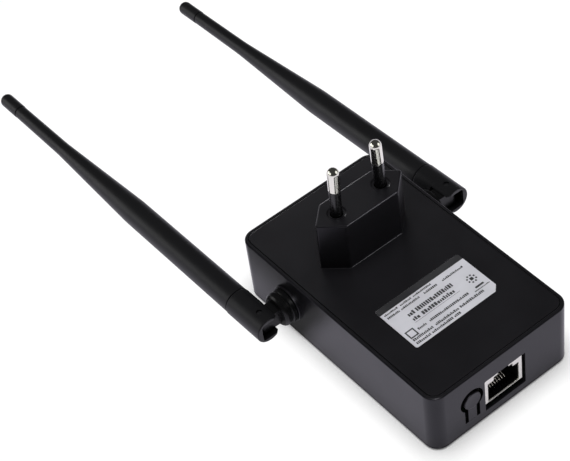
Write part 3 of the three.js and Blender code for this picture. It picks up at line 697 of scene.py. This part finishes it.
def front_housing():
    ledge = DEPTH - COVER_THICKNESS
    foot = SEAM_Z + PRESSED_GAP
    profile = filleted([
        (SEAM_CHAMFER, foot, 0), (0, foot + SEAM_CHAMFER, 0), (0, DEPTH, TOP_ROUND),
        (RIM, DEPTH, RIM_ROUND), (RIM, ledge, 0), (WALL, ledge, 0), (WALL, FLOOR_TOP, FLOOR_ROUND),
        (WALL + 1, FLOOR_TOP, 0),
    ])
    housing = solid("front_housing_fine", stack(case_outline, flat_points(profile)))
    join(housing, swivel_seat(-1), swivel_seat(1))
    openings = [end_wall_cutter(outline) for outline in (port_outline, keyhole_outline)]
    return cut(housing, neck_hole(-1), neck_hole(1), *openings)


def rear_cover():
    """The lid and its locating lip, with the hole that the plug block rises from."""
    edge = RIM + COVER_GAP
    lid_profile = filleted([(edge, COVER_BASE, 0), (edge, DEPTH, COVER_ROUND), (RIM + 2, DEPTH, 0)])
    cover = solid("rear_cover_fine", stack(case_outline, flat_points(lid_profile)))
    lip_out = WALL + COVER_GAP
    lip_in = lip_out + LIP_THICKNESS
    lip_top, lip_foot = COVER_BASE + LIP_OVERLAP, COVER_BASE - LIP_HEIGHT
    lip_profile = [(lip_out, lip_top), (lip_out, lip_foot), (lip_in, lip_foot), (lip_in, lip_top)]
    join(cover, ring_stack(case_outline, lip_profile))
    hole_profile = [(-BLOCK_COVE, COVER_BASE - PAST), (-BLOCK_COVE, DEPTH + PAST)]
    return cut(cover, stack(block_outline, hole_profile))


def block_cove():
    """The rounded foot that runs round the plug block, from the lid up to the block's side."""
    quarter = [math.radians(15 * k) for k in range(7)]
    curve = [(-BLOCK_COVE * (1 - math.sin(a)), DEPTH + BLOCK_COVE * (1 - math.cos(a))) for a in quarter]
    inside = BLOCK_HALF / 2
    profile = [(-BLOCK_COVE, COVER_BASE), *curve, (inside, DEPTH + BLOCK_COVE), (inside, COVER_BASE)]
    return ring_stack(block_outline, profile)


def plug_block():
    """The hollow block that carries the pins. It is moulded in one with the rear cover."""
    profile = filleted([(0, COVER_BASE, 0), (0, BLOCK_TOP, BLOCK_EDGE), (BLOCK_HALF / 2, BLOCK_TOP, 0)])
    moulding = solid("plug_block_fine", stack(block_outline, flat_points(profile)))
    join(moulding, block_cove())
    hollow = stack(block_outline, [(BLOCK_WALL, COVER_BASE - PAST), (BLOCK_WALL, BLOCK_TOP - BLOCK_ROOF)])
    return cut(moulding, hollow, *[pin_recess(sign) for sign in (-1, 1)])


def pin_recess(sign):
    """Cuts the sleeve's hole through the block's roof, and the dished recess around it."""
    hole_radius = SLEEVE_RADIUS + 0.2
    profile = filleted([
        (0, -BLOCK_ROOF - PAST, 0), (hole_radius, -BLOCK_ROOF - PAST, 0),
        (hole_radius, -RECESS_DEPTH, 0.15), (RECESS_RADIUS - 0.2, -RECESS_DEPTH, 0.6),
        (RECESS_RADIUS + 0.2, 0, 0), (RECESS_RADIUS + 0.8, PAST, 0), (0, PAST, 0),
    ])
    hole = turned(flat_points(profile))
    hole.transform(Matrix.Translation((sign * PIN_SPACING / 2, PIN_Y, BLOCK_TOP)))
    return hole


# ======== Plug pins ========
def pin_place(sign):
    seat = Matrix.Translation((sign * PIN_SPACING / 2 * MM, PIN_Y * MM, BLOCK_TOP * MM))
    return seat @ Matrix.Rotation(-sign * PIN_LEAN, 4, "Y")


def plug_pin(name, sign):
    profile = filleted([
        (0, -PIN_INSIDE, 0), (PIN_CORE, -PIN_INSIDE, 0.2), (PIN_CORE, PIN_SHOULDER, 0),
        (PIN_RADIUS, PIN_SHOULDER, 0.15), (PIN_RADIUS, PIN_LENGTH, PIN_RADIUS - 0.02), (0, PIN_LENGTH, 0),
    ])
    return solid(name, turned(flat_points(profile)), pin_place(sign))


def pin_sleeve(name, sign):
    bore = PIN_CORE + SLEEVE_CLEARANCE
    profile = filleted([
        (bore, -SLEEVE_INSIDE, 0), (SLEEVE_RADIUS, -SLEEVE_INSIDE, 0),
        (SLEEVE_RADIUS, SLEEVE_LENGTH, 0.25), (bore, SLEEVE_LENGTH, 0), (bore, -SLEEVE_INSIDE, 0),
    ])
    return solid(name, turned(flat_points(profile)), pin_place(sign))


# ======== Label ========
def label_outline(low_y, high_y):
    """The sticker between two heights in Y, with its lower right corner clipped."""
    clipped = label_low.y + LABEL_CLIP
    corners = [(label_low.x, high_y, LABEL_CORNER), (label_low.x, low_y, LABEL_CORNER)]
    if low_y < clipped:
        corners += [(label_high.x - LABEL_CLIP, low_y, 0.1), (label_high.x, clipped, 0.1)]
    else:
        corners[1] = (label_low.x, low_y, 0)
        corners.append((label_high.x, low_y, 0))
    corners.append((label_high.x, high_y, LABEL_CORNER))
    return filleted(corners, closed=True)


def rating_label():
    film = prism(label_outline(label_low.y, label_high.y), label_low.z, FILM_TOP)
    return solid("rating_label_fine", film)


def label_band():
    outline = label_outline(BAND_END, label_high.y - BAND_INSET)
    return solid("label_band_fine", prism(outline, PRINT_BASE, PRINT_TOP))


def mark(bm, x, y, width, height):
    """Adds one flat printed rectangle, centred on x and y, to a mesh."""
    corners = [(-1, -1), (1, -1), (1, 1), (-1, 1)]
    rows = []
    for z in (PRINT_BASE, PRINT_TOP):
        rows.append([bm.verts.new((x + i * width / 2, y + j * height / 2, z)) for i, j in corners])
    bm.faces.new(rows[0][::-1])
    bm.faces.new(rows[1])
    for i in range(4):
        j = (i + 1) % 4
        bm.faces.new((rows[0][i], rows[0][j], rows[1][j], rows[1][i]))


def label_print():
    """Unreadable rows of blocks where a rating label has its print, with two plain marks."""
    draw = random.Random(PRINT_SEED)
    bm = bmesh.new()
    for y, height, width, spans in PRINT_ROWS:
        for start, end in spans:
            x = start
            while x < end - width / 2:
                mark_width = width * draw.uniform(0.7, 1.25)
                mark_height = height * draw.choice((1, 1, 0.72))
                mark(bm, x + mark_width / 2, y - (height - mark_height) / 2, mark_width, mark_height)
                x += mark_width + width * 0.34
    for x, y, width, height in PRINT_BARS:
        mark(bm, x, y, width, height)
    reach = (FRAME_MARK["size"] - FRAME_MARK["line"]) / 2
    for side in (-1, 1):
        inner = FRAME_MARK["size"] - 2 * FRAME_MARK["line"]
        mark(bm, FRAME_MARK["x"] + side * reach, FRAME_MARK["y"], FRAME_MARK["line"], inner)
        mark(bm, FRAME_MARK["x"], FRAME_MARK["y"] + side * reach, FRAME_MARK["size"], FRAME_MARK["line"])
    for k in range(RING_MARK["count"]):
        angle = 2 * math.pi * (k + 0.5) / RING_MARK["count"]
        x = RING_MARK["x"] + RING_MARK["radius"] * math.cos(angle)
        y = RING_MARK["y"] + RING_MARK["radius"] * math.sin(angle)
        mark(bm, x, y, RING_MARK["dot"], RING_MARK["dot"])
    mark(bm, RING_MARK["x"], RING_MARK["y"], 2 * RING_MARK["dot"], 2 * RING_MARK["dot"])
    return solid("label_print_fine", bm)


# ======== Ethernet socket ========
def port_shape(margin=0.0):
    """The plug opening in X and Z, with its keyway on top."""
    floor = shell_low.z + PORT_FLOOR - margin
    top = shell_low.z + PORT_FLOOR + PORT_HEIGHT
    half = PORT_WIDTH / 2 + margin
    right = [(half, floor), (half, top + margin)]
    for width, height in KEYWAY_STEPS:
        right.append((width / 2 + margin, right[-1][1]))
        right.append((width / 2 + margin, top + height + margin))
    corners = right + [(-x, z) for x, z in reversed(right)]
    return filleted([(SOCKET_X + x, z, PORT_CORNER) for x, z in corners], closed=True)


def jack_shell():
    """The pressed sheet-metal box, open below, with the plug opening in its face."""
    low, high, sheet = shell_low, shell_high, SHELL_SHEET
    shell = solid("jack_shell_fine", block(tuple(low), tuple(high)))
    soften(shell, SHELL_ROUND, segments=3)
    inner_low = (low.x + sheet, low.y + sheet, low.z - PAST)
    inner_high = (high.x - sheet, high.y - sheet, high.z - sheet)
    levels = ((0.3, low.y - 0.3), (0, low.y + 0.15), (0, low.y + 2))
    mouth = loft([[(p.x, y, p.y) for p in port_shape(margin)] for margin, y in levels])
    return cut(shell, block(inner_low, inner_high), mouth)


def jack_insert():
    """The moulded body inside the shell, with a rib between each two contacts."""
    low, high = insert_low, insert_high
    body = solid("jack_insert_fine", block(tuple(low), tuple(high)))
    cut(body, prism(port_shape(), low.y - PAST, low.y + PORT_DEPTH, "xz"))
    floor = shell_low.z + PORT_FLOOR
    ribs = []
    for i in range(CONTACT_COUNT + 1):
        x = SOCKET_X + (i - CONTACT_COUNT / 2) * CONTACT_PITCH
        rib_low = (x - RIB_HALF, low.y + 1, floor - 0.1)
        rib_high = (x + RIB_HALF, low.y + 4, floor + 0.75)
        ribs.append(block(rib_low, rib_high))
    return join(body, *ribs)


def jack_contact(index):
    """One sprung wire: along the floor, round a tight bend in front, and back up into the opening."""
    floor = shell_low.z + PORT_FLOOR
    front = shell_low.y + CONTACT_FRONT
    path = filleted([
        (front + 9.8, floor + 0.24, 0), (front, floor + 0.24, 0.4), (front + 0.25, floor + 0.9, 0.5),
        (front + 5.2, floor + 2.8, 0.3),
    ])
    wire = strip(path, CONTACT_WIDTH, CONTACT_THICKNESS)
    x = SOCKET_X + (index - (CONTACT_COUNT + 1) / 2) * CONTACT_PITCH
    wire.transform(Matrix.Translation((x, 0, 0)))
    return solid(f"jack_contact_{index}_fine", wire)


# ======== Reset button ========
def reset_button():
    """The tongue, its raised round pad outside, and the boss that meets the switch inside."""
    levels = [(-0.12, 0), (-0.04, 0.04), (0, 0.12), (0, WALL)]
    rings = []
    for margin, y in levels:
        rings.append([(p.x, END_WALL + y, p.y) for p in tongue_outline(margin, button_low.z)])
    tongue = solid("reset_button_fine", loft(rings))
    pad_profile = filleted([
        (0, -WALL / 2, 0), (TONGUE_HEAD, -WALL / 2, 0), (TONGUE_HEAD, TONGUE_RAISE, 0.3),
        (TONGUE_HEAD * 0.6, TONGUE_RAISE - 0.06, 3), (0, TONGUE_RAISE - 0.1, 0),
    ])
    pad = turned([(p.x, -p.y) for p in pad_profile], "y", 96)
    pad.transform(Matrix.Translation((BUTTON_X, END_WALL, button_high.z - TONGUE_HEAD)))
    start, end = WALL / 2, button_high.y - END_WALL
    boss = turned([(0, start), (PRESS_BOSS_RADIUS, start), (PRESS_BOSS_RADIUS, end), (0, end)], "y")
    boss.transform(Matrix.Translation((BUTTON_X, END_WALL, (plunger_low.z + plunger_high.z) / 2)))
    return join(tongue, pad, boss)


# ======== Antennas ========
def swivel_place(sign):
    """X out of the case wall, Y along the folded antenna, Z along the fold hinge."""
    out = Vector((sign, 0, 0))
    hinge = -Vector(JOINTS[SIDES[sign] + "_antenna_fold"]["axis"])
    along = hinge.cross(out)
    turn = Matrix((out, along, hinge)).transposed().to_4x4()
    return Matrix.Translation(JOINTS[SIDES[sign] + "_swivel_turn"]["pos_m"]) @ turn


def antenna_place(sign):
    """The same at the fold hinge, with Y along the antenna itself."""
    side = SIDES[sign]
    origin = Vector(JOINTS[side + "_antenna_fold"]["pos_m"])
    hinge = -Vector(JOINTS[side + "_antenna_fold"]["axis"])
    low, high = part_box(side + "_antenna_tip")
    reach = (low + high) / 2 - origin
    along = (reach - hinge * reach.dot(hinge)).normalized()
    out = along.cross(hinge)
    return Matrix.Translation(origin) @ Matrix((out, along, hinge)).transposed().to_4x4()


def upright_rod(radius, half, x=0):
    """A straight rod along Z, centred on the hinge or x out from it."""
    rod = turned([(0, -half), (radius, -half), (radius, half), (0, half)], steps=32)
    rod.transform(Matrix.Translation((x, 0, 0)))
    return rod


def swivel_arm(name, sign):
    """The turned collar with its neck inside the case, and the bar that ends in the hinge knuckle."""
    # Each point is (radius, distance out from the case wall, corner radius).
    barrel = filleted([
        (CABLE_BORE, -NECK_INSIDE, 0), (NECK_RADIUS, -NECK_INSIDE, 0.3), (NECK_RADIUS, -2.8, 0),
        (CLIP_GROOVE_RADIUS, -2.8, 0), (CLIP_GROOVE_RADIUS, -1.9, 0), (NECK_RADIUS, -1.9, 0),
        (NECK_RADIUS, 1.05, 0), (6.2, 1.05, 0.2), (6.2, 2.6, 0.35), (5.75, 2.75, 0.1), (5.75, 3.2, 0.1),
        (6.05, 3.35, 0.3), (6.05, 4.9, 0.9), (5.2, 5.8, 0.9), (CABLE_BORE, 5.8, 0),
        (CABLE_BORE, -NECK_INSIDE, 0),
    ])
    arm = solid(name, turned(flat_points(barrel), "x"))
    bar_low = (KNUCKLE_START, -KNUCKLE_RADIUS, -KNUCKLE_HALF)
    bar_high = (HINGE_OUT, KNUCKLE_RADIUS, KNUCKLE_HALF)
    bar = solid("bar", block(bar_low, bar_high))
    eye_profile = [(0, -KNUCKLE_HALF), (KNUCKLE_RADIUS, -KNUCKLE_HALF), (KNUCKLE_RADIUS, KNUCKLE_HALF)]
    eye = turned([*eye_profile, (0, KNUCKLE_HALF)])
    eye.transform(Matrix.Translation((HINGE_OUT, 0, 0)))
    join(bar, eye)
    soften(bar, 0.45, segments=3)
    join(arm, bar)
    bore = upright_rod(KNUCKLE_BORE, KNUCKLE_HALF + 0.8, HINGE_OUT)
    cable_profile = [(0, -6), (CABLE_CUTTER, -6), (CABLE_CUTTER, 8.5), (0, 8.5)]
    cut(arm, bore, turned(cable_profile, "x", steps=32))
    arm.data.transform(swivel_place(sign))
    return arm


def antenna_fork(name, sign):
    """The antenna's lower sleeve: a round body, slotted for the knuckle, with one corner cut away."""
    body = filleted([
        (CABLE_HOLE, FORK_END, 0), (FORK_RADIUS, FORK_END, FORK_EDGE), (FORK_RADIUS, FORK_TOP, FORK_EDGE),
        (SOCKET_RADIUS, FORK_TOP, 0), (SOCKET_RADIUS, SOCKET_BOTTOM, 0), (CABLE_HOLE, SOCKET_BOTTOM, 0),
        (CABLE_HOLE, FORK_END, 0),
    ])
    fork = solid(name, turned(flat_points(body), "y", 72))
    reach = FORK_RADIUS + PAST
    pocket_outline = filleted([
        (-reach, -FORK_SLOT_HALF, 0), (FORK_SLOT_WALL, -FORK_SLOT_HALF, FORK_SLOT_ROUND),
        (FORK_SLOT_WALL, FORK_SLOT_HALF, FORK_SLOT_ROUND), (-reach, FORK_SLOT_HALF, 0),
    ], closed=True)
    pocket = prism(pocket_outline, FORK_END - PAST, FORK_SLOT_TOP, "xz")
    corner = solid("corner", block((-reach, FORK_END - PAST, -reach), (0, 0, reach)))
    heel_profile = [(0, -8), (FORK_HEEL_RADIUS, -8), (FORK_HEEL_RADIUS, 8), (0, 8)]
    cut(corner, turned(heel_profile, steps=96))
    cut(fork, pocket, corner, upright_rod(HINGE_PIN_BORE, 8))
    soften(fork, 0.16, limit=50)
    fork.data.transform(antenna_place(sign))
    return fork


def hinge_pin(name, sign):
    half = HINGE_PIN_HALF
    profile = filleted([
        (0, -half, 0), (HINGE_PIN_RADIUS, -half, 0.2), (HINGE_PIN_RADIUS, half, 0.2), (0, half, 0),
    ])
    return solid(name, turned(flat_points(profile), steps=32), antenna_place(sign))


def antenna_tube(name, sign):
    """The hollow radome, tapered in two long curves, with the spigot that sits in the fork."""
    profile = filleted([
        (TUBE_BORE, SPIGOT_BOTTOM, 0), (SPIGOT_RADIUS, SPIGOT_BOTTOM, 0), (SPIGOT_RADIUS, TUBE_START, 0),
        (4.88, TUBE_START, 0.25), (4.69, 70, 70), (2.62, 114, 90), (2.45, TUBE_END, 0.15),
        (1.5, TUBE_END, 0), (1.5, 112, 0), (TUBE_BORE, TUBE_BORE_END, 0), (TUBE_BORE, SPIGOT_BOTTOM, 0),
    ], step=math.radians(0.5))
    return solid(name, turned(flat_points(profile), "y", 72), antenna_place(sign))


def antenna_tip(name, sign):
    root = TIP_START - TIP_PLUG_LENGTH
    profile = filleted([
        (0, root, 0), (TIP_PLUG_RADIUS, root, 0), (TIP_PLUG_RADIUS, TIP_START, 0),
        (TIP_RADIUS, TIP_START, 0.2), (TIP_RADIUS, TIP_END, 2.1), (0, TIP_END, 0),
    ])
    return solid(name, turned(flat_points(profile), "y", 64), antenna_place(sign))


# ======== Camera, stage and light ========
def make_camera():
    data = bpy.data.cameras.new("camera")
    data.lens = CAMERA_LENS
    camera = bpy.data.objects.new("camera", data)
    bpy.context.scene.collection.objects.link(camera)
    look = (CAMERA_AIM - CAMERA_PLACE).to_track_quat("-Z", "Y").to_matrix().to_4x4()
    camera.matrix_world = Matrix.Translation(CAMERA_PLACE) @ look @ Matrix.Rotation(CAMERA_ROLL, 4, "Z")
    bpy.context.scene.camera = camera


def make_floor(name, height):
    bm = bmesh.new()
    corners = [(-1, -1), (1, -1), (1, 1), (-1, 1)]
    bm.faces.new([bm.verts.new((x * TABLE_HALF, y * TABLE_HALF, height)) for x, y in corners])
    mesh = bpy.data.meshes.new(name)
    bm.to_mesh(mesh)
    bm.free()
    floor = bpy.data.objects.new(name, mesh)
    bpy.context.scene.collection.objects.link(floor)
    mesh.materials.append(table_white)
    floor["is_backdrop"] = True
    return floor


def make_table():
    """The table, and its double with the antennas' shadows on it, which only the gloss shows."""
    make_floor("table", TABLE_HEIGHT).visible_glossy = False
    double = make_floor("table_in_gloss", GLOSS_TABLE_HEIGHT)
    double.visible_camera = False
    double.visible_diffuse = False
    double.visible_transmission = False
    double.visible_shadow = False


def softbox(name, box):
    """A round soft light that shows as plain shading, in gloss, or in both."""
    data = bpy.data.lights.new(name, "AREA")
    data.shape = "DISK"
    data.size = box.size
    data.energy = box.brightness * math.pi * math.pi * (box.size / 2) ** 2
    data.color = box.colour
    lamp = bpy.data.objects.new(name, data)
    bpy.context.scene.collection.objects.link(lamp)
    lamp.location = box.place
    lamp.rotation_mode = "QUATERNION"
    lamp.rotation_quaternion = (LIGHT_AIM - Vector(box.place)).to_track_quat("-Z", "Y")
    lamp.visible_camera = False
    lamp.visible_diffuse = box.shows != "gloss"
    lamp.visible_glossy = box.shows != "shade"
    return lamp


def make_light():
    """The room's own dim light, which the camera sees as white, and the softboxes."""
    world = bpy.data.worlds.new("studio")
    bpy.context.scene.world = world
    world.use_nodes = True
    nodes, links = world.node_tree.nodes, world.node_tree.links
    background = nodes["Background"]
    background.inputs["Color"].default_value = (1, 1, 1, 1)
    rays = nodes.new("ShaderNodeLightPath")
    level = nodes.new("ShaderNodeMapRange")
    level.inputs["To Min"].default_value = ROOM_LEVEL
    level.inputs["To Max"].default_value = 1
    links.new(rays.outputs["Is Camera Ray"], level.inputs["Value"])
    links.new(level.outputs["Result"], background.inputs["Strength"])
    bpy.context.scene.view_settings.view_transform = "Standard"
    return {name: softbox(name, box) for name, box in SOFTBOXES.items()}


def group(name, items):
    collection = bpy.data.collections.new(name)
    for item in items:
        collection.objects.link(item)
    return collection


def share_light(lamps):
    """Gives each lamp what it lights. The table's own lamp leaves out the antennas' shadows."""
    pieces = [item for item in bpy.context.scene.objects if item.type == "MESH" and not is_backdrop(item)]

    def named(*words):
        return [item for item in pieces if any(word in item.name for word in words)]

    round_pieces = named("plug_pin", "swivel", "antenna")
    flat_pieces = [item for item in pieces if item not in round_pieces]
    cover = named("rear_cover", "plug_block")
    antennas = named("antenna", "radiator", "hinge_pin", "swivel")
    receivers = {
        "table": group("lit_table", [bpy.data.objects["table"]]),
        "table_in_gloss": group("lit_table_in_gloss", [bpy.data.objects["table_in_gloss"]]),
        "all": group("lit_pieces", pieces),
        "cover": group("lit_cover", cover),
        "block": group("lit_block", named("plug_block")),
        "pins": group("lit_pins", named("plug_pin")),
        "round": group("lit_round_pieces", round_pieces),
        "flat": group("lit_flat_pieces", flat_pieces),
        "sides": group("lit_sides", [item for item in flat_pieces if item not in cover]),
    }
    for name, lamp in lamps.items():
        lamp.light_linking.receiver_collection = receivers[SOFTBOXES[name].lights]
    shadow_makers = group("shadow_makers", [item for item in pieces if item not in antennas])
    lamps["table_light"].light_linking.blocker_collection = shadow_makers


# ======== Assembly ========
make_camera()
make_table()
lamps = make_light()

slots = {part["node"]: part["material_slot"] for part in frame["record"]["subparts"]}
for node, cad in frame["nodes"].items():
    cad.data.materials.clear()
    cad.data.materials.append(SLOT_MATERIALS[slots[node]])

place_piece(front_panel(), "case", "gloss_black", gloss_black, "front_panel")
place_piece(front_housing(), "case", "case_black", case_black, "front_housing")
place_piece(rear_cover(), "case", "case_black", case_black, "rear_cover")
place_piece(plug_block(), "case", "case_black", case_black)
place_piece(rating_label(), "case", "silver_label", label_film, "rating_label")
place_piece(label_band(), "case", "soft_black", label_band_ink)
place_piece(label_print(), "case", "soft_black", label_ink)
for sign, side in SIDES.items():
    pin = plug_pin(f"{side}_plug_pin_fine", sign)
    place_piece(pin, "case", "nickel_pin", nickel, f"{side}_plug_pin")
    sleeve = pin_sleeve(f"{side}_pin_sleeve_fine", sign)
    place_piece(sleeve, "case", "soft_black", sleeve_black, f"{side}_pin_sleeve")

place_piece(jack_shell(), "case", "steel", tinned_steel, "jack_shell")
place_piece(jack_insert(), "case", "soft_black", soft_black, "jack_insert")
for index in range(1, CONTACT_COUNT + 1):
    place_piece(jack_contact(index), "case", "gold_contact", gold_plate, f"jack_contact_{index}")
place_piece(reset_button(), "reset_button", "case_black", case_black, "reset_button")

for sign, side in SIDES.items():
    arm = swivel_arm(f"{side}_swivel_arm_fine", sign)
    place_piece(arm, f"{side}_swivel", "soft_black", soft_black, f"{side}_swivel_arm")
    for build, part, slot, material in (
        (antenna_fork, "antenna_fork", "antenna_black", antenna_black),
        (antenna_tube, "antenna_tube", "antenna_black", antenna_black),
        (antenna_tip, "antenna_tip", "antenna_black", antenna_black),
        (hinge_pin, "hinge_pin", "black_steel", black_steel),
    ):
        piece = build(f"{side}_{part}_fine", sign)
        place_piece(piece, f"{side}_antenna", slot, material, f"{side}_{part}")

share_light(lamps)
